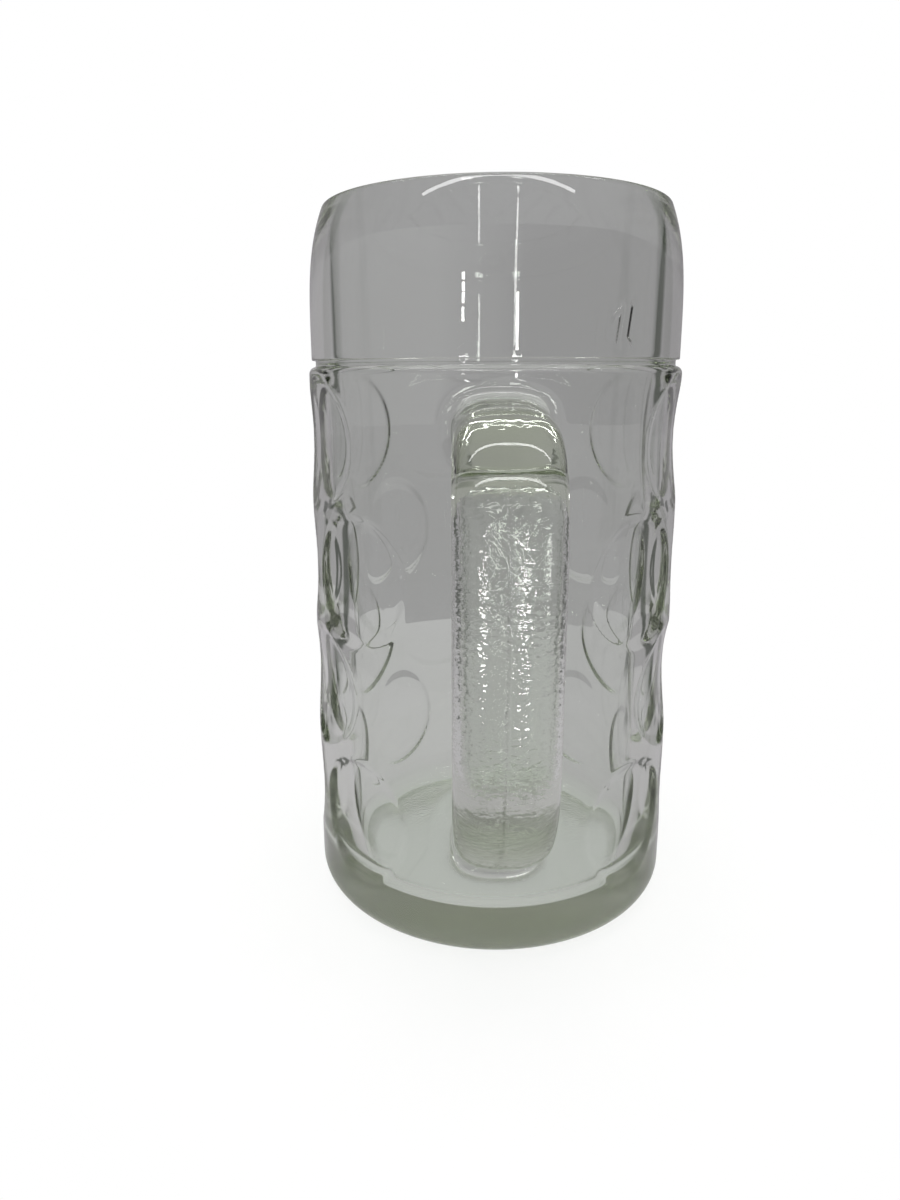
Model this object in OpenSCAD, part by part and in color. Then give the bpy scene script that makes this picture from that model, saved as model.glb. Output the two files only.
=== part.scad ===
// Dimpled one-litre beer mug: a pressed glass body with a smooth band under
// the rim, four staggered rows of round dimples, a thick bottom and one
// D-shaped handle. Millimetres. The body's axis is Z, the mug stands on
// z = 0, and the handle points along -Y.

/* [Body] */
// Height from the table to the top of the rim
mug_height = 200; // [180:1:225]
// Diameter of the body at its foot
foot_dia = 109; // [100:0.5:120]
// Radius that the dimpled wall loses between the foot and the shoulder
body_taper = 1.8; // [0.5:0.1:2.5]
// Height of the smooth band, from the groove to the rim
band_height = 39.6; // [28:0.2:48]
// How far the band stands back from the shoulder below it
band_setback = 0.8; // [0.2:0.1:1]
// How far the band curves inwards by the rim
rim_draw = 4.2; // [3.4:0.1:4.6]
// Lean of the band's face where it meets the lip, in degrees
rim_turn = 22; // [18:1:26]
// Thickness of the rounded lip
lip_thick = 2.6; // [2.4:0.1:3.4]
// Radius that the bore loses between the lip and the bottom
bore_draft = 0.6; // [0.4:0.1:1.5]
// Thickness of the glass bottom
bottom_thick = 10; // [8:0.5:15]
// Rounding between the bore and the bottom
bottom_round = 9; // [4:0.5:14]

/* [Foot] */
// Height of the plain ring of glass below the dimples
foot_height = 16.5; // [13:0.5:20]
// Rounding of the heel
heel_round = 8; // [4:0.5:10]
// Width of the flat ring that the mug stands on
standing_ring = 5.5; // [3:0.5:8]
// Depth of the hollow under the bottom
hollow_depth = 2.5; // [1:0.1:4]

/* [Groove] */
// Depth of the groove under the band, from the band's face
groove_depth = 1.1; // [0.5:0.1:1.8]
// Height of the groove
groove_height = 4; // [3:0.1:6]
// Rounding of the band's lower edge
band_edge = 0.5; // [0.3:0.1:0.9]

/* [Dimples] */
// Dimples that a full turn would hold; those under the handle are left out
dimple_columns = 8; // [6:1:8]
// Rows of dimples
dimple_rows = 4; // [3:1:4]
// Diameter of a dimple
dimple_dia = 36; // [30:0.5:37]
// Depth of a dimple at its middle
dimple_depth = 4; // [3.4:0.1:4.4]
// Depth of a dimple's floor at the start of its sloping edge
dimple_edge_depth = 2.6; // [2.2:0.1:3]
// Width of a dimple's sloping edge
dimple_slope = 2.6; // [1.5:0.1:4]

/* [Handle] */
// Width of the handle, side to side
handle_width = 23; // [18:0.5:26]
// Thickness of the handle, from its inner to its outer face
handle_thick = 16; // [12:0.5:18]
// Fullness of the handle's section: 2 is an ellipse, more is squarer
handle_fullness = 2.1; // [2:0.1:3]
// Clear depth of the finger gap
finger_gap = 29.5; // [25:0.5:36]
// Drop from the groove to the top of the handle
handle_drop = 7; // [5:0.5:14]
// Height of the handle's underside where it leaves the body
handle_low = 28.5; // [24:0.5:40]
// Fall of the upper arm, in degrees
upper_fall = 5; // [0:1:10]
// Rise of the lower arm, in degrees
lower_rise = 33; // [24:1:36]
// Bend radius of the upper corner, on the middle line
upper_bend = 18; // [14:0.5:22]
// Bend radius of the lower corner, on the middle line
lower_bend = 26; // [20:0.5:32]
// Rounding between the handle's upper root and the body
upper_root_round = 4.5; // [3:0.5:6]
// Rounding between the handle's lower root and the body
lower_root_round = 6.5; // [3:0.5:7]

/* [Capacity mark] */
// Height of the figure and of the letter
mark_height = 7.6; // [5:0.1:12]
// Width of a stroke
mark_stroke = 0.8; // [0.5:0.1:1.4]
// How far the strokes stand out of the band
mark_relief = 0.4; // [0.2:0.05:0.8]
// Gap between the figure and the letter
mark_gap = 3.4; // [2.5:0.1:5]
// Height of the mark above the groove
mark_rise = 3.4; // [2:0.1:12]
// Angle from the handle to the mark, in degrees
mark_turn = 34; // [25:1:60]
// Lean of the strokes, in degrees
mark_lean = 9; // [0:1:15]

/* [Hidden] */
glass = "#c3cdc6";
handle_glass = "#b4c0b6";
mark_glass = "#dfe6e1";
$fn = 96;
arc_steps = 10;
section_steps = 24;
root_steps = 4;
bend_step = 9;

foot_r = foot_dia / 2;
shoulder_r = foot_r - body_taper;
band_r = shoulder_r - band_setback;
groove_r = band_r - groove_depth;
lip_mid_r = band_r - rim_draw - lip_thick / 2 * cos(rim_turn);
bore_rim_r = lip_mid_r - lip_thick / 2;
bore_low_r = bore_rim_r - bore_draft;
lip_z = mug_height - lip_thick / 2;
band_z = mug_height - band_height;
groove_z = band_z - groove_height / 2;
shoulder_z = band_z - groove_height;
hollow_r = foot_r - heel_round - standing_ring;

// The band starts upright at the groove and curves in more and more towards the lip
band_rise = lip_z + lip_thick / 2 * sin(rim_turn) - band_z;
rim_curve = band_rise * tan(rim_turn) / rim_draw;

// The rows of dimples fill the wall between the foot and the groove
row_low_z = foot_height + dimple_dia / 2;
row_high_z = groove_z - handle_drop / 3 - dimple_dia / 2;
row_step = (row_high_z - row_low_z) / (dimple_rows - 1);
column_step = 360 / dimple_columns;

// The mark's strokes start inside the band's glass and end clear of their relief
mark_reach = groove_depth + 2 * mark_relief;

// Middle line of the handle, as distance from the axis and height
handle_r = foot_r + finger_gap + handle_thick / 2;
upper_root_z = groove_z - handle_drop - handle_thick / 2 / cos(upper_fall);
lower_root_z = handle_low + handle_thick / 2 / cos(lower_rise);
handle_line = [
    [bore_low_r, upper_root_z + (shoulder_r - bore_low_r) * tan(upper_fall)],
    [handle_r, upper_root_z - (handle_r - shoulder_r) * tan(upper_fall)],
    [handle_r, lower_root_z + (handle_r - foot_r) * tan(lower_rise)],
    [bore_low_r, lower_root_z - (foot_r - bore_low_r) * tan(lower_rise)],
];

// Points on an arc, with its angles counted from +X
function arc_points(mid, r, from, to) =
    [for (i = [0:arc_steps]) mid + r * [cos(from + (to - from) * i / arc_steps),
                                        sin(from + (to - from) * i / arc_steps)]];

function unit(v) = v / norm(v);
function wall_r(z) = foot_r - body_taper * (z - foot_height) / (shoulder_z - foot_height);

// Side of the body from the heel up to the lip's top, grown outwards by extra
function heel_side() = arc_points([foot_r - heel_round, heel_round], heel_round, -90, 0);
function groove_side() = [
    [foot_r, foot_height],
    [shoulder_r, shoulder_z],
    [groove_r, groove_z],
    [groove_r, band_z - band_edge],
    [band_r - band_edge, band_z - band_edge / 2],
];
function band_side(extra = 0) =
    [for (i = [0:arc_steps - 1])
        let (share = sin(90 * i / arc_steps))
        [band_r + extra - rim_draw * pow(share, rim_curve), band_z + band_rise * share]];
function lip_side(to) = arc_points([lip_mid_r, lip_z], lip_thick / 2, rim_turn, to);
function outer_side(lip_to) = concat(heel_side(), groove_side(), band_side(), lip_side(lip_to));

// Bore, from the lip down to the bottom
function bore_side() = concat(
    arc_points([bore_low_r - bottom_round, bottom_thick + bottom_round], bottom_round, 0, -90),
    [[0, bottom_thick]]);

// The body's outside as a solid of revolution, with no bore and no dimples
module envelope() {
    rotate_extrude() polygon(concat([[0, 0]], outer_side(90), [[0, mug_height]]));
}

// The thick-walled vessel, before the dimples are pressed in
module vessel() {
    rotate_extrude() polygon(concat([[0, hollow_depth], [hollow_r - hollow_depth, hollow_depth],
                                     [hollow_r, 0]],
                                    outer_side(180), bore_side()));
}

// Cutter for one dimple on the +X side: a shallow spherical floor with a sloping edge
module dimple_cutter(z) {
    face_r = wall_r(z);
    floor_r = dimple_dia / 2 - dimple_slope;
    sag = dimple_depth - dimple_edge_depth;
    cap_r = (floor_r * floor_r + sag * sag) / (2 * sag);
    cap_turn = asin(floor_r / cap_r);
    floor_line = [for (i = [0:arc_steps]) [cap_r * sin(cap_turn * i / arc_steps),
                                           cap_r - cap_r * cos(cap_turn * i / arc_steps)]];
    translate([face_r - dimple_depth, 0, z]) rotate([0, 90, 0]) rotate_extrude()
        polygon(concat(floor_line, [[dimple_dia / 2, dimple_depth],
                                    [dimple_dia / 2 + dimple_slope, 2 * dimple_depth],
                                    [0, 2 * dimple_depth]]));
}

// Every other row is turned by half a column, and the wall behind the handle stays plain
module dimples() {
    for (row = [0:dimple_rows - 1]) {
        shift = row % 2 == 0 ? 1 : 1.5;
        for (column = [shift:dimple_columns - shift])
            rotate([0, 0, column * column_step - 90]) dimple_cutter(row_low_z + row * row_step);
    }
}

// Middle line of the handle: the turn at a corner b between a and c, and its arc
function turn_at(a, b, c) = acos(unit(b - a) * unit(c - b));
function bend_points(a, b, c, r) =
    let (turn = turn_at(a, b, c), inward = unit(unit(a - b) + unit(c - b)),
         mid = b + inward * r / cos(turn / 2),
         enter = b + unit(a - b) * r * tan(turn / 2) - mid,
         start = atan2(enter.y, enter.x), steps = ceil(turn / bend_step))
    [for (i = [0:steps]) mid + r * [cos(start - turn * i / steps), sin(start - turn * i / steps)]];

// A root widens like a quarter circle as it nears the body's wall
function flare_at(gap, round) = round - sqrt(round ^ 2 - (round - max(gap, 0)) ^ 2);

// Full oval: x across the handle's thickness, y across its width
function full(c) = sign(c) * pow(abs(c), 2 / handle_fullness);
function section_points(grow) =
    [for (i = [0:section_steps - 1])
        let (a = 360 * i / section_steps)
        [(handle_thick / 2 + grow) * full(cos(a)), (handle_width / 2 + grow) * full(sin(a))]];

// A ring of the bar square to its middle line, in the XZ plane of the handle
function bar_ring(at, along) =
    [for (q = section_points(0)) [at.x - along.y * q.x, q.y, at.y + along.x * q.x]];

// A ring of a root that follows the round wall at a gap from it. It lies on the
// straight run through root, which leaves the wall in the direction away.
function root_ring(root, away, side, wall, gap, round) =
    [for (q = section_points(flare_at(gap, round)))
        let (x = sqrt((wall + gap) ^ 2 - q.y ^ 2), off = side * q.x,
             t = (x - root.x + away.y * off) / away.x)
        [x, q.y, root.y + away.y * t + away.x * off]];
function root_rings(root, away, side, wall, round) =
    concat([root_ring(root, away, side, wall, root.x - wall, round)],
           [for (i = [0:root_steps])
               root_ring(root, away, side, wall, round * (1 - cos(90 * i / root_steps)), round)]);

// Rings round a bend, each square to the arc
function bend_rings(a, b, c, r) =
    let (arc = bend_points(a, b, c, r), last = len(arc) - 1)
    [for (i = [0:last])
        bar_ring(arc[i], i == 0 ? unit(b - a) : i == last ? unit(c - b)
                                : unit(arc[i + 1] - arc[i - 1]))];

// The bar is a skin over those rings, from the upper root to the lower one
module handle_bar() {
    p = handle_line;
    lower = root_rings(p[3], unit(p[2] - p[3]), -1, foot_r, lower_root_round);
    rings = concat(root_rings(p[0], unit(p[1] - p[0]), 1, shoulder_r, upper_root_round),
                   bend_rings(p[0], p[1], p[2], upper_bend),
                   bend_rings(p[1], p[2], p[3], lower_bend),
                   [for (i = [len(lower) - 1:-1:0]) lower[i]]);
    count = len(rings);
    size = len(rings[0]);
    sides = [for (k = [0:count - 2], j = [0:size - 1])
        let (a = k * size + j, b = k * size + (j + 1) % size)
        each [[a, a + size, b], [b, a + size, b + size]]];
    first = [for (j = [0:size - 1]) j];
    last = [for (j = [size - 1:-1:0]) (count - 1) * size + j];
    polyhedron([for (ring = rings) each ring], concat(sides, [first, last]));
}

// One stroke of the mark on the +X side, from one place to another on the
// band, where a place is a distance along the band and a height
module stroke(from, to) {
    along = to - from;
    mid = (from + to) / 2;
    rotate([0, 0, mid.x / band_r * 180 / PI]) translate([groove_r, 0, mid.y])
        rotate([-atan2(along.x, along.y), 0, 0]) {
            translate([0, -mark_stroke / 2, -norm(along) / 2])
                cube([mark_reach, mark_stroke, norm(along)]);
            for (end = [-1, 1]) translate([0, 0, end * norm(along) / 2]) rotate([0, 90, 0])
                cylinder(d = mark_stroke, h = mark_reach);
        }
}

module mug_body() {
    color(glass) difference() {
        vessel();
        dimples();
    }
}

// The handle ends on the body's outer face, above and below
module handle() {
    color(handle_glass) rotate([0, 0, -90]) difference() {
        handle_bar();
        envelope();
    }
}

// A plain figure one and a small letter l, raised on the band beside the handle
module capacity_mark() {
    flag_share = [0.36, 0.3];
    hook_share = [0.2, 0.16];
    low = band_z + mark_rise;
    lean = mark_height * tan(mark_lean);
    one = [-mark_gap / 2, low];
    letter = [mark_gap / 2, low];
    top = [lean, mark_height];
    flag = [flag_share.x, flag_share.y] * mark_height;
    hook = [hook_share.x, hook_share.y] * mark_height;
    color(mark_glass) rotate([0, 0, mark_turn - 90]) intersection() {
        difference() {
            union() {
                stroke(one, one + top);
                stroke(one + top - flag, one + top);
                stroke(letter + [hook.y * tan(mark_lean), hook.y], letter + top);
                stroke(letter + [hook.y * tan(mark_lean), hook.y], letter + [hook.x, 0]);
            }
            envelope();
        }
        rotate_extrude() polygon(concat([[0, band_z]], band_side(mark_relief), [[0, lip_z]]));
    }
}

mug_body();
handle();
capacity_mark();
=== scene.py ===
import math

import bmesh
import bpy
import numpy as np
from mathutils import Matrix, Vector


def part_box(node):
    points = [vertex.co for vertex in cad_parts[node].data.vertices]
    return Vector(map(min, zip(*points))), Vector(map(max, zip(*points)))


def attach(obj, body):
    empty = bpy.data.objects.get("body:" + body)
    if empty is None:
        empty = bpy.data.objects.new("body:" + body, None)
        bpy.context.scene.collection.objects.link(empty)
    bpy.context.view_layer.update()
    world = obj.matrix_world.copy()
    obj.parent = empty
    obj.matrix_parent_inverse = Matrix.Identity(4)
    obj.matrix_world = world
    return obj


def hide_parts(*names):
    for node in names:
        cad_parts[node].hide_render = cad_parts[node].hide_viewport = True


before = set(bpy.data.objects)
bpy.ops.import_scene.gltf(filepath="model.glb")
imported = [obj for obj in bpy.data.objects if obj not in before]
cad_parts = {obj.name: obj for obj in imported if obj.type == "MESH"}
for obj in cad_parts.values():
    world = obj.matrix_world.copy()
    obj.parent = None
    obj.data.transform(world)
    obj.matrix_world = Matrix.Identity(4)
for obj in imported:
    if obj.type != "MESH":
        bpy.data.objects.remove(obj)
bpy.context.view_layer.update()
MM = 0.001


# Camera. A phone at arm's length, a little above the groove and looking down
# at the handle, which stands slightly to the right of the middle of the frame.
PHOTO_HEIGHT_PX = 1200
FOCAL_PX = 850
SENSOR_HEIGHT = 36
CAMERA_DISTANCE = 254.9 * MM
CAMERA_HEIGHT = 156.7 * MM
HANDLE_TURN = math.radians(2.2)
CAMERA_PITCH = math.radians(14.97)
CAMERA_YAW = math.radians(-2.89) + HANDLE_TURN
CAMERA_ROLL = math.radians(-0.17)

camera_data = bpy.data.cameras.new("camera")
camera_data.sensor_fit = "VERTICAL"
camera_data.sensor_height = SENSOR_HEIGHT
camera_data.lens = FOCAL_PX / PHOTO_HEIGHT_PX * SENSOR_HEIGHT
camera_data.clip_start = 10 * MM
camera = bpy.data.objects.new("camera", camera_data)
bpy.context.scene.collection.objects.link(camera)
forward = Vector((math.sin(CAMERA_YAW) * math.cos(CAMERA_PITCH),
                  math.cos(CAMERA_YAW) * math.cos(CAMERA_PITCH),
                  -math.sin(CAMERA_PITCH)))
aim = forward.to_track_quat("-Z", "Y").to_matrix().to_4x4()
place = Vector((-CAMERA_DISTANCE * math.sin(HANDLE_TURN),
                -CAMERA_DISTANCE * math.cos(HANDLE_TURN), CAMERA_HEIGHT))
camera.matrix_world = Matrix.Translation(place) @ aim @ Matrix.Rotation(CAMERA_ROLL, 4, "Z")
bpy.context.scene.camera = camera
bpy.context.scene.view_settings.view_transform = "Standard"


# Room. Plain white for the camera. What the glass shows is a grey painted wall all
# round, darker where the room opens at the two sides, under a ceiling.
WALL_GREY = "#aba8ac"
WALL_SHADE = "#9c999d"
SHADE_EDGE = (-0.06, 0.1)
OPENING_GREY = "#4a4e48"
CEILING_GREY = "#a9aaa4"
PLAIN_WHITE = "#ffffff"
OPENING_TURN = 57
OPENING_HALF_WIDTH = (3, 8)
CEILING_EDGE = (0.35, 0.9)

# The kinds of node that come back most, and the inputs of a mixing node that its
# colours come after
SUM = "ShaderNodeMath"
RANGE = "ShaderNodeMapRange"
BLEND = "ShaderNodeMix"
UNUSED = (None,) * 5


def srgb(code):
    """A colour written as in a picture program, as the renderer's numbers."""
    parts = [int(code[i:i + 2], 16) / 255 for i in (1, 3, 5)]
    return [p / 12.92 if p <= 0.04045 else ((p + 0.055) / 1.055) ** 2.4 for p in parts] + [1]


def add(tree, kind, *inputs, **settings):
    """A node with its settings, and its inputs in order: a node, a socket, a value or None."""
    made = tree.nodes.new(kind)
    for name, value in settings.items():
        setattr(made, name, value)
    for place_in, value in zip(made.inputs, inputs):
        if isinstance(value, bpy.types.Node):
            value = value.outputs[0]
        if isinstance(value, bpy.types.NodeSocket):
            tree.links.new(value, place_in)
        elif value is not None:
            place_in.default_value = value
    return made


world = bpy.data.worlds.new("room")
bpy.context.scene.world = world
world.use_nodes = True
room = world.node_tree
room.nodes.clear()
look = add(room, "ShaderNodeSeparateXYZ", add(room, "ShaderNodeTexCoord").outputs["Generated"])


def opening_share(tree, x, y):
    """How much of a direction falls in the dark openings at the two sides of the room."""
    turn = add(tree, SUM, x, y, operation="ARCTAN2")
    turn = add(tree, SUM, turn, operation="ABSOLUTE")
    off = add(tree, SUM, turn, math.radians(OPENING_TURN), operation="SUBTRACT")
    off = add(tree, SUM, off, operation="ABSOLUTE")
    inner, outer = (math.radians(w) for w in OPENING_HALF_WIDTH)
    return add(tree, RANGE, off, outer, inner, 0, 1, interpolation_type="SMOOTHSTEP")


shade = add(room, RANGE, look.outputs[0], *SHADE_EDGE, 0, 1)
wall = add(room, BLEND, shade, *UNUSED, srgb(WALL_GREY), srgb(WALL_SHADE), data_type="RGBA")
opens = opening_share(room, look.outputs[0], look.outputs[1])
wall = add(room, BLEND, opens, *UNUSED, wall.outputs[2], srgb(OPENING_GREY), data_type="RGBA")
up = add(room, RANGE, look.outputs[2], *CEILING_EDGE, 0, 1)
sky = add(room, BLEND, up, *UNUSED, wall.outputs[2], srgb(CEILING_GREY), data_type="RGBA")
ray = add(room, "ShaderNodeLightPath")
seen = add(room, "ShaderNodeBackground", srgb(PLAIN_WHITE), 1)
around = add(room, "ShaderNodeBackground", sky.outputs[2], 1)
both = add(room, "ShaderNodeMixShader", ray.outputs["Is Camera Ray"], around, seen)
add(room, "ShaderNodeOutputWorld", both)


# Table. A white sheet of paper under the mug, which ends 270 mm from its middle on
# a greyer table top. The camera sees plain white with the mug's faint shadow. What
# the glass sees is a glow in these tones, with painted shade on the sheet's right
# side and under the mug.
TABLE_SIZE = 4
SHEET_RADIUS = 270 * MM
SHEET_WHITE = "#c3c0c4"
SHEET_SHADE = "#bab7bb"
SHADE_HALF_WIDTH = 20 * MM
TABLE_GREY = "#a5a2a6"
SEEN_WHITE = "#f4f4f4"
SHADOW_RADIUS = 140 * MM
SHADOW_SHARE = 0.22
OPENING_START = (150 * MM, 210 * MM)
UNDER_MUG_PAINTED_SHADE = "#c2c3c2"
UNDER_MUG_SHADE_RADIUS = (50 * MM, 66 * MM)
SHEET_GAP = 0.2 * MM

floor_mesh = bpy.data.meshes.new("table")
half = TABLE_SIZE / 2
corners = ((-half, -half), (half, -half), (half, half), (-half, half))
floor_mesh.from_pydata([(x, y, -SHEET_GAP) for x, y in corners], [], [(0, 1, 2, 3)])
floor = bpy.data.objects.new("table", floor_mesh)
bpy.context.scene.collection.objects.link(floor)
paint = bpy.data.materials.new("table_sheet")
paint.use_nodes = True
tree = paint.node_tree
tree.nodes.clear()
spot = add(tree, "ShaderNodeTexCoord").outputs["Object"]
reach = add(tree, "ShaderNodeVectorMath", spot, operation="LENGTH").outputs["Value"]
beyond = add(tree, SUM, reach, SHEET_RADIUS, operation="GREATER_THAN")
side = add(tree, "ShaderNodeSeparateXYZ", spot).outputs
right = add(tree, RANGE, side[0], -SHADE_HALF_WIDTH, SHADE_HALF_WIDTH, 0, 1)
sheet = add(tree, BLEND, right, *UNUSED, srgb(SHEET_WHITE), srgb(SHEET_SHADE), data_type="RGBA")
ground = add(tree, BLEND, beyond, *UNUSED, sheet.outputs[2], srgb(TABLE_GREY), data_type="RGBA")
opens = add(tree, RANGE, reach, *OPENING_START, 0, 1)
opens = add(tree, SUM, opens, opening_share(tree, side[0], side[1]), operation="MULTIPLY")
ground = add(tree, BLEND, opens, *UNUSED, ground.outputs[2], srgb(OPENING_GREY), data_type="RGBA")
# Painted shade: the sheet, as the glass sees it, turns darker under the mug
under = add(tree, RANGE, reach, *UNDER_MUG_SHADE_RADIUS, 1, 0)
ground = add(tree, BLEND, under, *UNUSED, ground.outputs[2], srgb(UNDER_MUG_PAINTED_SHADE), data_type="RGBA")
ray = add(tree, "ShaderNodeLightPath")
hidden = add(tree, "ShaderNodeEmission", ground.outputs[2], 1)
near = add(tree, RANGE, reach, SHADOW_RADIUS, 0.5 * SHADOW_RADIUS, 0, SHADOW_SHARE)
white = add(tree, "ShaderNodeBsdfDiffuse", srgb(SEEN_WHITE))
lift = add(tree, "ShaderNodeEmission", srgb(PLAIN_WHITE), 1)
shown = add(tree, "ShaderNodeMixShader", near, lift, white)
both = add(tree, "ShaderNodeMixShader", ray.outputs["Is Camera Ray"], hidden, shown)
add(tree, "ShaderNodeOutputMaterial", both)
floor_mesh.materials.append(paint)


# Lamps. A wide soft box overhead that lights the sheet alone, two ceiling tubes,
# and at two places behind the camera a stack of slim lamps with a low one in
# front. The tubes and the slim lamps are what the glass shows as glints.
TOP_SIZE = 1.4
TOP_HEIGHT = 1.5
TOP_OFFSET = 0.001
TOP_POWER = 16
TUBE_SIZE = (2, 0.06)
TUBE_POWER = 3.2
TUBE_SPOTS = ((0, 0.05, 1.3), (0, -0.75, 1.25))
TUBE_AIM = 0.15
SLIM_DISTANCE = 1.1
SLIM_SIZE = (0.028, 0.034)
SLIM_POWER = 0.1
SLIM_HEIGHTS = {-19.5: (0.255, 0.3, 0.34, 0.385), 10.5: (0.2, 0.235, 0.27, 0.3)}
LOW_DISTANCE = 0.45
LOW_SIZE = (0.05, 0.035)
LOW_POWER = 0.15
LOW_HEIGHTS = (0.03,)
SLIM_AIM = 0.1


def lamp(name, size, power, spot, target):
    """A rectangular lamp at a spot, turned to face a target."""
    data = bpy.data.lights.new(name, "AREA")
    data.shape = "RECTANGLE"
    data.size, data.size_y = size
    data.energy = power
    made = bpy.data.objects.new(name, data)
    bpy.context.scene.collection.objects.link(made)
    made.location = spot
    made.rotation_euler = (Vector(target) - Vector(spot)).to_track_quat("-Z", "Y").to_euler()
    return made


soft_box = lamp("overhead_soft_box", (TOP_SIZE, TOP_SIZE), TOP_POWER,
                (0, TOP_OFFSET, TOP_HEIGHT), (0, 0, 0))
soft_box.visible_glossy = soft_box.visible_transmission = False
for number, tube_spot in enumerate(TUBE_SPOTS):
    lamp(f"ceiling_tube_{number + 1}", TUBE_SIZE, TUBE_POWER, tube_spot, (0, 0, TUBE_AIM))
for slim_turn, heights in SLIM_HEIGHTS.items():
    a = math.radians(slim_turn)
    for kind, distance, size, power, stack in (
            ("slim", SLIM_DISTANCE, SLIM_SIZE, SLIM_POWER, heights),
            ("low", LOW_DISTANCE, LOW_SIZE, LOW_POWER, LOW_HEIGHTS)):
        for number, height in enumerate(stack):
            lamp(f"{kind}_lamp_{slim_turn:.0f}_{number + 1}", size, power,
                 (distance * math.sin(a), -distance * math.cos(a), height), (0, 0, SLIM_AIM))


# Glass. Pressed and fire-polished soda-lime glass. It is clear to the eye, with a
# green cast where it is thick. The front of the handle keeps the fine ripple and
# the seam of the mould, and the standing ring is stippled.
GLASS_INDEX = 1.52
GLASS_FACE = "#fbfdfb"
GLASS_DEPTH_TINT = "#e7eae1"
GLASS_DENSITY = 28
SHADOW_TINT = "#eef2ef"
STIPPLE_PITCH = 2 / 3 * MM
STIPPLE_ROUGHNESS = 0.25
FIRE_POLISH = 0.012
SEAM_WIDTH = 0.35 * MM
SEAM_HEIGHT = 0.8
RIPPLE_PITCH = 1 * MM
RIPPLE_DETAIL = 1
RIPPLE_ROUGHNESS = 0.5
RIPPLE_STRETCH = (0.6, 0.6, 1)
RIPPLE_STRENGTH = 1
RIPPLE_HEIGHT = 0.17 * MM

# Light that is reflected many times inside the thick bottom needs this many steps:
# with fewer it is cut off, and the heel turns black
LIGHT_PATH_STEPS = 24

glass = bpy.data.materials.new("pressed_glass")
glass.use_nodes = True
tree = glass.node_tree
tree.nodes.clear()
spot = add(tree, "ShaderNodeTexCoord").outputs["Object"]
skin = add(tree, "ShaderNodeAttribute", attribute_name="handle_skin").outputs["Fac"]
drawn = add(tree, "ShaderNodeVectorMath", spot, RIPPLE_STRETCH, operation="MULTIPLY")
ripple = add(tree, "ShaderNodeTexNoise", drawn, None, 1 / RIPPLE_PITCH,
             RIPPLE_DETAIL, RIPPLE_ROUGHNESS)
across = add(tree, SUM, add(tree, "ShaderNodeSeparateXYZ", spot), operation="ABSOLUTE")
seam = add(tree, RANGE, across, SEAM_WIDTH, 0, 0, SEAM_HEIGHT, interpolation_type="SMOOTHSTEP")
height = add(tree, SUM, ripple, seam, operation="ADD")
height = add(tree, SUM, height, skin, operation="MULTIPLY")
stipple = add(tree, "ShaderNodeAttribute", attribute_name="underside").outputs["Fac"]
grains = add(tree, "ShaderNodeTexVoronoi", spot, None, 1 / STIPPLE_PITCH)
height = add(tree, SUM, grains, stipple, height, operation="MULTIPLY_ADD")
bump = add(tree, "ShaderNodeBump", RIPPLE_STRENGTH, RIPPLE_HEIGHT)
tree.links.new(height.outputs[0], bump.inputs["Height"])
surface = add(tree, "ShaderNodeBsdfPrincipled")
surface.inputs["Base Color"].default_value = srgb(GLASS_FACE)
dull = add(tree, RANGE, stipple, 0, 1, FIRE_POLISH, STIPPLE_ROUGHNESS)
tree.links.new(dull.outputs[0], surface.inputs["Roughness"])
surface.inputs["IOR"].default_value = GLASS_INDEX
surface.inputs["Transmission Weight"].default_value = 1
tree.links.new(bump.outputs[0], surface.inputs["Normal"])
clear = add(tree, "ShaderNodeBsdfTransparent", srgb(SHADOW_TINT))
ray = add(tree, "ShaderNodeLightPath")
both = add(tree, "ShaderNodeMixShader", ray.outputs["Is Shadow Ray"], surface, clear)
tint = add(tree, "ShaderNodeVolumeAbsorption", srgb(GLASS_DEPTH_TINT), GLASS_DENSITY)
add(tree, "ShaderNodeOutputMaterial", both, tint)
for limit in ("max_bounces", "glossy_bounces", "transmission_bounces"):
    setattr(bpy.context.scene.cycles, limit, LIGHT_PATH_STEPS)


# Body. A tall vessel of glass pressed in a mould: thick bottom with a shallow hollow
# under it, plain foot band, tapering wall, groove, and a smooth band whose lip is
# rounded. The handle is cast with it.
body_low, body_high = (Vector(p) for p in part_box("mug_body"))
FOOT_R = (body_high.x - body_low.x) / 2
MUG_HEIGHT = body_high.z
SHOULDER_R = FOOT_R - 1.8 * MM
BAND_R = SHOULDER_R - 0.8 * MM
GROOVE_R = BAND_R - 1.1 * MM
BAND_Z = MUG_HEIGHT - 39.6 * MM
GROOVE_HEIGHT = 4 * MM
SHOULDER_Z = BAND_Z - GROOVE_HEIGHT
FOOT_HEIGHT = 16.5 * MM
HEEL_ROUND = 8 * MM
RIM_DRAW = 4.2 * MM
RIM_TURN = 22
LIP_THICK = 2.6 * MM
BORE_DRAFT = 0.6 * MM
BOTTOM_THICK = 10 * MM
BOTTOM_ROUND = 9 * MM
STANDING_RING = 5.5 * MM
HOLLOW_DEPTH = 2.5 * MM

# The groove's floor and its rounds, each with its start, end and number of steps
FLOOR_LEAN = 0.02 * MM
FLOOR_RISE = 0.3 * MM
GROOVE_CORNER = 0.35 * MM
CORNER_DROP = 0.75 * MM
BAND_CORNER = 0.4 * MM
SHOULDER_ARC = (6, 84, 7)
CORNER_ARC = (180, 90, 3)
BAND_ARC = (-80, -10, 4)

# How fine the skin is round the mug and along its outline
COLUMNS = 320
WALL_ROWS = 127
UNDER_POINTS = 8
HEEL_STEPS = 12
FOOT_POINTS = 9
BAND_POINTS = 30
BAND_SPREAD = (0.01, 0.5)
LIP_START = RIM_TURN + 9
LIP_STEPS = 16
BORE_POINTS = 24
BOTTOM_STEPS = 10
BOTTOM_RINGS = 7
POLE_R = 0.4 * MM
POLE_SHARE = 0.02

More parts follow.
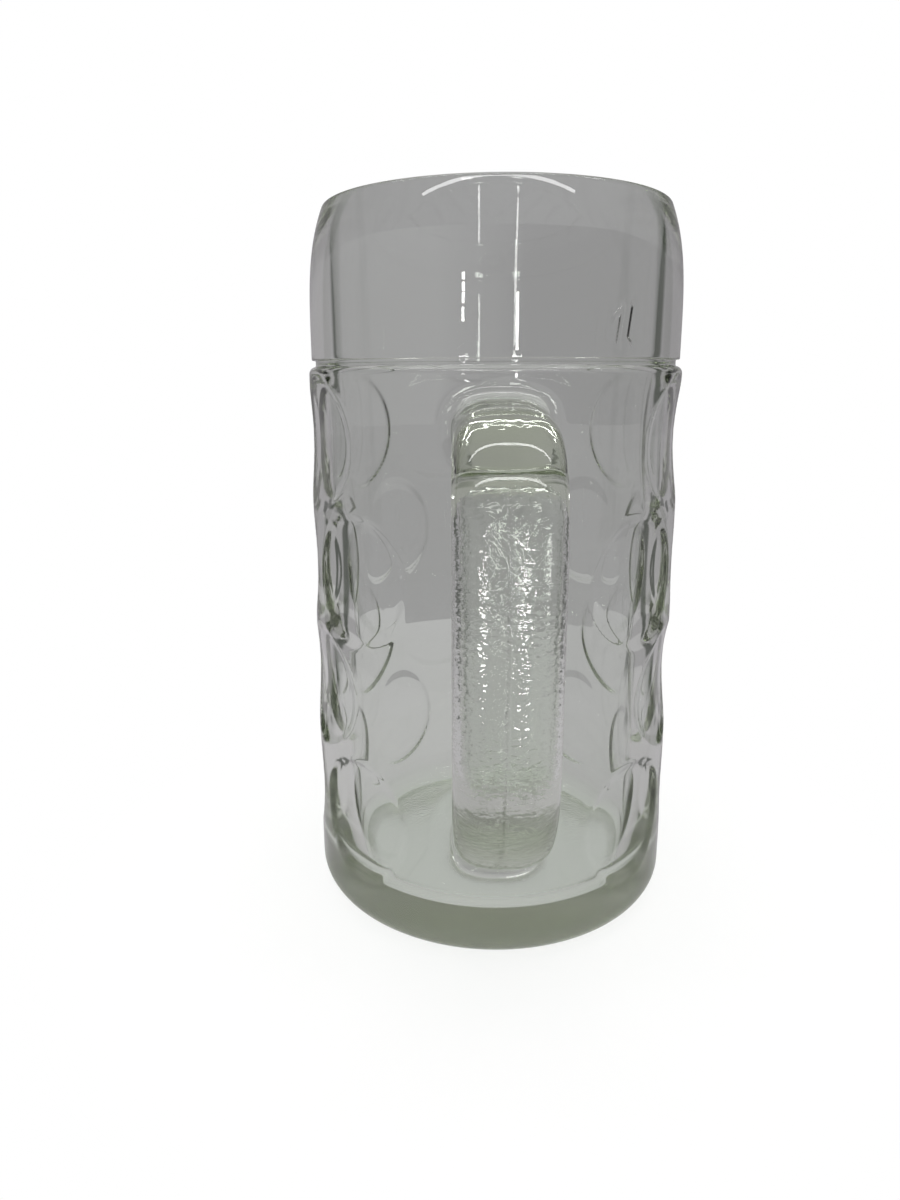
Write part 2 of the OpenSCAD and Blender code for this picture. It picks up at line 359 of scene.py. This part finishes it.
LIP_MID_R = BAND_R - RIM_DRAW - LIP_THICK / 2 * math.cos(math.radians(RIM_TURN))
LIP_Z = MUG_HEIGHT - LIP_THICK / 2
BORE_RIM_R = LIP_MID_R - LIP_THICK / 2
BORE_LOW_R = BORE_RIM_R - BORE_DRAFT
HOLLOW_R = FOOT_R - HEEL_ROUND - STANDING_RING


def arc(mid, radius, start, end, steps):
    """Points on an arc, from one angle to another in degrees, both ends included."""
    angles = np.radians(np.linspace(start, end, steps + 1))
    return [(mid[0] + radius * math.cos(a), mid[1] + radius * math.sin(a)) for a in angles]


def wall_radius(z):
    """Outer radius of the tapering wall, before the dimples."""
    return FOOT_R - (FOOT_R - SHOULDER_R) * (z - FOOT_HEIGHT) / (SHOULDER_Z - FOOT_HEIGHT)


band_rise = LIP_Z + LIP_THICK / 2 * math.sin(math.radians(RIM_TURN)) - BAND_Z
rim_curve = band_rise * math.tan(math.radians(RIM_TURN)) / RIM_DRAW
hollow_arc_r = (HOLLOW_R ** 2 + HOLLOW_DEPTH ** 2) / (2 * HOLLOW_DEPTH)
hollow_turn = math.degrees(math.asin(HOLLOW_R / hollow_arc_r))
underside = [(hollow_arc_r * math.sin(math.radians(t)),
              HOLLOW_DEPTH - hollow_arc_r * (1 - math.cos(math.radians(t))))
             for t in np.linspace(POLE_SHARE, 1, UNDER_POINTS) * hollow_turn]
heel = arc((FOOT_R - HEEL_ROUND, HEEL_ROUND), HEEL_ROUND, -90, 0, HEEL_STEPS)
foot_band = [(FOOT_R, z) for z in np.linspace(HEEL_ROUND, FOOT_HEIGHT, FOOT_POINTS)[1:-1]]
wall_zs = np.linspace(FOOT_HEIGHT, SHOULDER_Z, WALL_ROWS + 1)
wall_line = [(wall_radius(z), z) for z in wall_zs]
shoulder_round = SHOULDER_R - GROOVE_R
groove_line = arc((GROOVE_R, SHOULDER_Z), shoulder_round, *SHOULDER_ARC) + \
    [(GROOVE_R + FLOOR_LEAN, SHOULDER_Z + shoulder_round + FLOOR_RISE)] + \
    arc((GROOVE_R + GROOVE_CORNER, BAND_Z - CORNER_DROP), GROOVE_CORNER, *CORNER_ARC) + \
    arc((BAND_R - BAND_CORNER, BAND_Z), BAND_CORNER, *BAND_ARC)
band_line = [(BAND_R - RIM_DRAW * s ** rim_curve, BAND_Z + band_rise * s)
             for s in np.sin(np.linspace(*BAND_SPREAD, BAND_POINTS) * math.pi)]
lip = arc((LIP_MID_R, LIP_Z), LIP_THICK / 2, LIP_START, 180, LIP_STEPS)
bore = [(BORE_RIM_R - BORE_DRAFT * t, LIP_Z + (BOTTOM_THICK + BOTTOM_ROUND - LIP_Z) * t)
        for t in np.linspace(0, 1, BORE_POINTS)[1:]]
bottom = arc((BORE_LOW_R - BOTTOM_ROUND, BOTTOM_THICK + BOTTOM_ROUND), BOTTOM_ROUND,
             0, -90, BOTTOM_STEPS)[1:]
bottom += [(r, BOTTOM_THICK)
           for r in np.linspace(BORE_LOW_R - BOTTOM_ROUND, POLE_R, BOTTOM_RINGS)[1:]]
profile = underside + heel + foot_band + wall_line + groove_line + band_line + lip + bore + bottom
first_wall_row = len(underside) + len(heel) + len(foot_band)

turns = 2 * math.pi * np.arange(COLUMNS) / COLUMNS
points = [np.array([(r * math.sin(a), -r * math.cos(a), z) for a in turns]) for r, z in profile]
points = list(np.concatenate(points))
rows = len(profile)


# Handle. A D-shaped bar of solid glass with a full oval section, flared where its
# two roots run into the wall. It leaves the body below the groove and comes back
# above the foot.
HANDLE_WIDTH = 23 * MM
HANDLE_THICK = 16 * MM
HANDLE_FULLNESS = 2.6
FINGER_GAP = 29.5 * MM
HANDLE_DROP = 7 * MM
HANDLE_LOW = 28.5 * MM
UPPER_FALL = math.radians(5)
LOWER_RISE = math.radians(33)
UPPER_BEND = 18 * MM
LOWER_BEND = 26 * MM
UPPER_ROOT_ROUND = 4.5 * MM
LOWER_ROOT_ROUND = 6.5 * MM
ROOT_COLUMNS = 40
ROOT_ROWS = 36
PATCH_STEPS = 6
FLARE_STEPS = 9
ARM_STEPS = 8
GRIP_STEPS = 14
UPPER_BEND_STEPS = 18
LOWER_BEND_STEPS = 14

handle_r = FOOT_R + FINGER_GAP + HANDLE_THICK / 2
groove_z = BAND_Z - GROOVE_HEIGHT / 2
upper_z = groove_z - HANDLE_DROP - HANDLE_THICK / 2 / math.cos(UPPER_FALL)
lower_z = HANDLE_LOW + HANDLE_THICK / 2 / math.cos(LOWER_RISE)
corners = [np.array(p) for p in (
    (SHOULDER_R, upper_z),
    (handle_r, upper_z - (handle_r - SHOULDER_R) * math.tan(UPPER_FALL)),
    (handle_r, lower_z + (handle_r - FOOT_R) * math.tan(LOWER_RISE)),
    (FOOT_R, lower_z))]

# Places round a root's edge, as shares of its half width and half height
across = np.linspace(-1, 1, ROOT_COLUMNS + 1)
along = np.linspace(-1, 1, ROOT_ROWS + 1)
edge_places = [(u, -1) for u in across[:-1]] + [(1, v) for v in along[:-1]] + \
    [(u, 1) for u in across[:0:-1]] + [(-1, v) for v in along[:0:-1]]


def section(grow):
    """Outline of the bar's section, a full oval: across its width and through its thickness."""
    outline = []
    half = np.array((HANDLE_WIDTH / 2 + grow, HANDLE_THICK / 2 + grow))
    for u, v in edge_places:
        reach = (abs(u) ** HANDLE_FULLNESS + abs(v) ** HANDLE_FULLNESS) ** (1 / HANDLE_FULLNESS)
        outline.append(half * (u, v) / reach)
    return outline


def bar_ring(at, way):
    """The section square to the bar's middle line, at a place in the handle's plane."""
    normal = np.array((-way[1], way[0]))
    return [(x, -(at + normal * y)[0], (at + normal * y)[1]) for x, y in section(0)]


def root_ring(root, away, side, gap, flare):
    """The flared section on a cylinder that stands off from the wall by a gap."""
    grow = flare - math.sqrt(flare ** 2 - (flare - gap) ** 2)
    ring = []
    for x, y in section(grow):
        z = root[1]
        for _ in range(3):
            out = math.sqrt((wall_radius(z) + gap) ** 2 - x ** 2)
            t = (out - root[0] + away[1] * side * y) / away[0]
            z = root[1] + away[1] * t + away[0] * side * y
        ring.append((x, -out, z))
    return ring


def wall_rings(outline, edge):
    """Rings on the wall, from the edge of the opening in the grid to a root's outline."""
    def place(p):
        return np.array((math.atan2(p[0], -p[1]), p[2]))
    rings = []
    for t in np.linspace(0, 1, PATCH_STEPS + 2)[1:-1]:
        ring = []
        for a, b in zip(edge, outline):
            turn_at, z = place(a) * (1 - t) + place(b) * t
            out = wall_radius(z)
            ring.append((out * math.sin(turn_at), -out * math.cos(turn_at), z))
        rings.append(ring)
    return rings


def blend(ring_a, ring_b, steps):
    """Rings between two others, without the ends."""
    a, b = np.array(ring_a), np.array(ring_b)
    return [a + (b - a) * t for t in np.linspace(0, 1, steps + 1)[1:-1]]


def bend(before, corner, after, radius, steps):
    """Rings round a corner of the handle's middle line."""
    came, goes = corner - before, after - corner
    came, goes = came / np.linalg.norm(came), goes / np.linalg.norm(goes)
    turned = math.acos(came @ goes)
    inward = (goes - came) / np.linalg.norm(goes - came)
    mid = corner + inward * radius / math.cos(turned / 2)
    start = corner - came * radius * math.tan(turned / 2) - mid
    rings = []
    for t in np.linspace(0, 1, steps + 1):
        c, s = math.cos(-turned * t), math.sin(-turned * t)
        rotate = np.array(((c, -s), (s, c)))
        rings.append(bar_ring(mid + rotate @ start, rotate @ came))
    return rings


def grid_edge(low_row, flip):
    """Indices round the opening in the body's grid, in the order of edge_places."""
    found = []
    for u, v in edge_places:
        column = round(u * ROOT_COLUMNS / 2) % COLUMNS
        row = low_row + round((1 + (-v if flip else v)) * ROOT_ROWS / 2)
        found.append(row * COLUMNS + column)
    return found


upper_low_row = first_wall_row + WALL_ROWS - ROOT_ROWS
lower_low_row = first_wall_row + 1
upper_edge = grid_edge(upper_low_row, False)
lower_edge = grid_edge(lower_low_row, True)
upper_way = (corners[1] - corners[0]) / np.linalg.norm(corners[1] - corners[0])
lower_way = (corners[2] - corners[3]) / np.linalg.norm(corners[2] - corners[3])
gap_shares = [1 - math.cos(math.radians(a)) for a in np.linspace(0, 90, FLARE_STEPS + 1)]
upper_flare = [root_ring(corners[0], upper_way, 1, UPPER_ROOT_ROUND * g, UPPER_ROOT_ROUND)
               for g in gap_shares]
lower_flare = [root_ring(corners[3], lower_way, -1, LOWER_ROOT_ROUND * g, LOWER_ROOT_ROUND)
               for g in gap_shares]
upper_corner = bend(*corners[:3], UPPER_BEND, UPPER_BEND_STEPS)
lower_corner = bend(*corners[1:], LOWER_BEND, LOWER_BEND_STEPS)
rings = wall_rings(upper_flare[0], [points[i] for i in upper_edge]) + upper_flare
body_rings = len(rings)
rings += blend(upper_flare[-1], upper_corner[0], ARM_STEPS) + upper_corner
rings += blend(upper_corner[-1], lower_corner[0], GRIP_STEPS) + lower_corner
rings += blend(lower_corner[-1], lower_flare[-1], ARM_STEPS)
bar_end = len(rings)
rings += lower_flare[::-1] + wall_rings(lower_flare[0], [points[i] for i in lower_edge])[::-1]


# Casting. The body and the handle are one piece of glass, so they share one
# closed skin: the wall's grid opens where the handle's rings run into it.
SKIN_FADE_RINGS = 4
SKIN_TOP_GAP = 8 * MM
SKIN_FADE = 10 * MM
RING_STIPPLE_TOP = 0.6 * MM
HOLLOW_STIPPLE = 0.25
HOLLOW_STIPPLE_TOP = HOLLOW_DEPTH + 0.1 * MM

faces = []
opening = {(row, column % COLUMNS) for low in (upper_low_row, lower_low_row)
           for row in range(low, low + ROOT_ROWS)
           for column in range(-ROOT_COLUMNS // 2, ROOT_COLUMNS // 2)}
for row in range(rows - 1):
    for column in range(COLUMNS):
        if (row, column) not in opening:
            a, b = row * COLUMNS + column, row * COLUMNS + (column + 1) % COLUMNS
            faces.append((a, b, b + COLUMNS, a + COLUMNS))
under_pole, bottom_pole = len(points), len(points) + 1
points += [(0, 0, HOLLOW_DEPTH), (0, 0, BOTTOM_THICK)]
last = (rows - 1) * COLUMNS
for column in range(COLUMNS):
    after = (column + 1) % COLUMNS
    faces.append((under_pole, after, column))
    faces.append((bottom_pole, last + column, last + after))
size = len(edge_places)
ring_ids = [upper_edge]
for ring in rings:
    ring_ids.append(list(range(len(points), len(points) + size)))
    points += [tuple(p) for p in ring]
ring_ids.append(lower_edge)
for ring_a, ring_b in zip(ring_ids, ring_ids[1:]):
    for k in range(size):
        after = (k + 1) % size
        faces.append((ring_a[k], ring_a[after], ring_b[after], ring_b[k]))
skin_values = np.zeros(len(points))
for index, ids in enumerate(ring_ids[1:-1]):
    edge_gap = min(index - body_rings + 2, bar_end + 2 - index)
    skin_values[ids] = min(max(edge_gap / SKIN_FADE_RINGS, 0), 1)
point_zs = np.array([p[2] for p in points])
skin_values *= np.clip((upper_z - SKIN_TOP_GAP - point_zs) / SKIN_FADE, 0, 1)

mesh = bpy.data.meshes.new("mug_glass")
mesh.from_pydata([tuple(p) for p in points], [], faces)
mesh.attributes.new("handle_skin", "FLOAT", "POINT").data.foreach_set("value", skin_values)
stippled = np.where(point_zs < RING_STIPPLE_TOP, 1,
                    HOLLOW_STIPPLE * (point_zs < HOLLOW_STIPPLE_TOP))
mesh.attributes.new("underside", "FLOAT", "POINT").data.foreach_set("value", stippled)


# Capacity mark. A plain figure one and a small letter l, raised on the band
# beside the handle. The grid is made finer there to carry the thin strokes.
MARK_TURN = math.radians(34)
MARK_HEIGHT = 7.6 * MM
MARK_RISE = 3.4 * MM
MARK_STROKE = 0.8 * MM
MARK_RELIEF = 0.35 * MM
MARK_GAP = 3.4 * MM
MARK_LEAN = math.tan(math.radians(9))
MARK_MARGIN = 1.6 * MM
MARK_CUTS = 6
MARK_FLAG = (0.36, 0.30)
MARK_HOOK = (0.20, 0.16)
BORE_CLEAR = 1 * MM

foot_of_one = np.array((-MARK_GAP / 2, BAND_Z + MARK_RISE))
foot_of_letter = np.array((MARK_GAP / 2, BAND_Z + MARK_RISE))
top = np.array((MARK_LEAN, 1)) * MARK_HEIGHT
flag = np.array(MARK_FLAG) * MARK_HEIGHT
hook = np.array(MARK_HOOK) * MARK_HEIGHT
bend_at = foot_of_letter + (hook[1] * MARK_LEAN, hook[1])
strokes = [(foot_of_one, foot_of_one + top), (foot_of_one + top - flag, foot_of_one + top),
           (bend_at, foot_of_letter + top), (bend_at, foot_of_letter + (hook[0], 0))]
shape = bmesh.new()
shape.from_mesh(mesh)
mark_low = foot_of_one - MARK_MARGIN
mark_high = foot_of_letter + top + MARK_MARGIN


def mark_place(p):
    """A point of the band as distance along it from the mark's middle, and height."""
    return np.array((BAND_R * (math.atan2(p.x, -p.y) - MARK_TURN), p.z))


def stroke_gap(p, start, end):
    """How far a place is from a stroke's middle line."""
    way = end - start
    return np.linalg.norm(p - start - way * np.clip((p - start) @ way / (way @ way), 0, 1))


near = [e for e in shape.edges
        if all(BORE_RIM_R + BORE_CLEAR < math.hypot(v.co.x, v.co.y) < FOOT_R
               and all(mark_low < mark_place(v.co)) and all(mark_place(v.co) < mark_high)
               for v in e.verts)]
bmesh.ops.subdivide_edges(shape, edges=near, cuts=MARK_CUTS, use_grid_fill=True)
for v in shape.verts:
    p = mark_place(v.co)
    radius = math.hypot(v.co.x, v.co.y)
    if radius > BORE_RIM_R + BORE_CLEAR and all(mark_low < p) and all(p < mark_high):
        off = min(stroke_gap(p, *stroke) for stroke in strokes)
        rise = MARK_RELIEF * np.clip((MARK_STROKE - off) / (MARK_STROKE / 2), 0, 1)
        v.co.x *= 1 + rise / radius
        v.co.y *= 1 + rise / radius
bmesh.ops.delete(shape, geom=[v for v in shape.verts if not v.link_faces], context="VERTS")
for f in shape.faces:
    f.smooth = True
shape.to_mesh(mesh)
shape.free()
mug = bpy.data.objects.new("mug_glass", mesh)
bpy.context.scene.collection.objects.link(mug)


# Dimples. The mould presses four staggered rows of round hollows into the outside
# of the wall, wider ones in every other row. The wall behind the handle is plain.
DIMPLES = {"Columns": 8, "Row step": 34.52 * MM, "Lowest row": 34.5 * MM,
           "Half width": 17.5 * MM, "Wide row extra": 3 * MM, "Half height": 18 * MM,
           "Depth": 1.7 * MM, "Edge drop": 0.6 * MM, "Edge slope": 0.55,
           "Softness": 0.5 * MM, "Bore radius": BORE_RIM_R + BORE_CLEAR,
           "Top": SHOULDER_Z + 0.2 * MM}
LAST_ROW = 3
PLAIN_COLUMNS = 0.75

press = bpy.data.node_groups.new("press_dimples", "GeometryNodeTree")
press.interface.new_socket("Geometry", in_out="INPUT", socket_type="NodeSocketGeometry")
for name in DIMPLES:
    press.interface.new_socket(name, in_out="INPUT", socket_type="NodeSocketFloat")
press.interface.new_socket("Material", in_out="INPUT", socket_type="NodeSocketMaterial")
press.interface.new_socket("Geometry", in_out="OUTPUT", socket_type="NodeSocketGeometry")
given = press.nodes.new("NodeGroupInput").outputs
at = add(press, "GeometryNodeInputPosition")
xyz = add(press, "ShaderNodeSeparateXYZ", at).outputs
front = add(press, SUM, xyz[1], -1, operation="MULTIPLY")
turn = add(press, SUM, xyz[0], front, operation="ARCTAN2")
pitch = add(press, SUM, 2 * math.pi, given["Columns"], operation="DIVIDE")
flat = add(press, "ShaderNodeCombineXYZ", xyz[0], xyz[1], 0)
reach = add(press, "ShaderNodeVectorMath", flat, operation="LENGTH").outputs["Value"]


def press_row(row):
    """How deep the nearest dimple of a row is pressed in at a point of the wall."""
    row = add(press, SUM, row, 0, operation="MAXIMUM")
    row = add(press, SUM, row, LAST_ROW, operation="MINIMUM")
    row_z = add(press, SUM, row, given["Row step"], given["Lowest row"], operation="MULTIPLY_ADD")
    odd = add(press, SUM, row, 2, operation="MODULO")
    half_width = add(press, SUM, odd, given["Wide row extra"], given["Half width"],
                     operation="MULTIPLY_ADD")

    # The middle of the nearest dimple: every other row is turned by half a column
    shift = add(press, SUM, odd, 0.5, operation="MULTIPLY")
    column = add(press, SUM, turn, pitch, operation="DIVIDE")
    column = add(press, SUM, column, shift, operation="SUBTRACT")
    column = add(press, SUM, column, operation="ROUND")
    column = add(press, SUM, shift, column, operation="ADD")
    offset = add(press, SUM, column, pitch, operation="MULTIPLY")
    offset = add(press, SUM, turn, offset, operation="SUBTRACT")

    # How far the point is from that middle: 0 there and 1 on the dimple's outline
    side = add(press, SUM, reach, offset, operation="MULTIPLY")
    side = add(press, SUM, side, half_width, operation="DIVIDE")
    rise = add(press, SUM, xyz[2], row_z, operation="SUBTRACT")
    rise = add(press, SUM, rise, given["Half height"], operation="DIVIDE")
    spread = add(press, SUM, rise, rise, operation="MULTIPLY")
    spread = add(press, SUM, side, side, spread, operation="MULTIPLY_ADD")

    # A bowl that a sloping edge meets, with both ends of the edge softened
    bowl = add(press, SUM, 1, spread, operation="SUBTRACT")
    bowl = add(press, SUM, given["Depth"], bowl, given["Edge drop"], operation="MULTIPLY_ADD")
    inset = add(press, SUM, spread, operation="SQRT")
    inset = add(press, SUM, 1, inset, operation="SUBTRACT")
    inset = add(press, SUM, inset, given["Half width"], operation="MULTIPLY")
    edge = add(press, SUM, inset, given["Edge slope"], operation="MULTIPLY")
    hollow = add(press, SUM, bowl, edge, given["Softness"], operation="SMOOTH_MIN")
    hollow = add(press, SUM, hollow, 0, given["Softness"], operation="SMOOTH_MAX")

    # None behind the handle
    here = add(press, SUM, column, operation="ABSOLUTE")
    here = add(press, SUM, here, PLAIN_COLUMNS, operation="GREATER_THAN")
    return add(press, SUM, here, hollow, operation="MULTIPLY")


row_place = add(press, SUM, xyz[2], given["Lowest row"], operation="SUBTRACT")
row_place = add(press, SUM, row_place, given["Row step"], operation="DIVIDE")
row_below = add(press, SUM, row_place, operation="FLOOR")
row_above = add(press, SUM, row_below, 1, operation="ADD")
over_first = add(press, SUM, row_place, 0, operation="GREATER_THAN")
under_last = add(press, SUM, row_place, LAST_ROW, operation="LESS_THAN")
between = add(press, SUM, over_first, under_last, operation="MULTIPLY")
depth = add(press, SUM, between, press_row(row_above), press_row(row_below),
            operation="MULTIPLY_ADD")
scale = add(press, SUM, depth, -1, operation="MULTIPLY")
scale = add(press, SUM, scale, reach, operation="DIVIDE")
inward = add(press, "ShaderNodeVectorMath", flat, operation="SCALE")
press.links.new(scale.outputs[0], inward.inputs["Scale"])
past_bore = add(press, SUM, reach, given["Bore radius"], operation="GREATER_THAN")
below_top = add(press, SUM, xyz[2], given["Top"], operation="LESS_THAN")
outside = add(press, SUM, past_bore, below_top, operation="MULTIPLY")
pressed = add(press, "GeometryNodeSetPosition", given["Geometry"], outside, None, inward)
solid = add(press, "GeometryNodeRealizeInstances", pressed)
dressed = add(press, "GeometryNodeSetMaterial", solid)
press.links.new(given["Material"], dressed.inputs["Material"])
out = press.nodes.new("NodeGroupOutput")
press.links.new(dressed.outputs[0], out.inputs[0])
modifier = mug.modifiers.new("dimples", "NODES")
modifier.node_group = press
for item in press.interface.items_tree:
    if item.in_out == "INPUT" and item.name in DIMPLES:
        modifier[item.identifier] = float(DIMPLES[item.name])
    elif item.in_out == "INPUT" and item.name == "Material":
        modifier[item.identifier] = glass
bpy.context.view_layer.update()
made = bpy.data.meshes.new_from_object(mug.evaluated_get(bpy.context.evaluated_depsgraph_get()))
mug.modifiers.remove(modifier)
mug.data = made
made.name = "mug_glass"

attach(mug, "root")
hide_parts("mug_body", "handle", "capacity_mark")
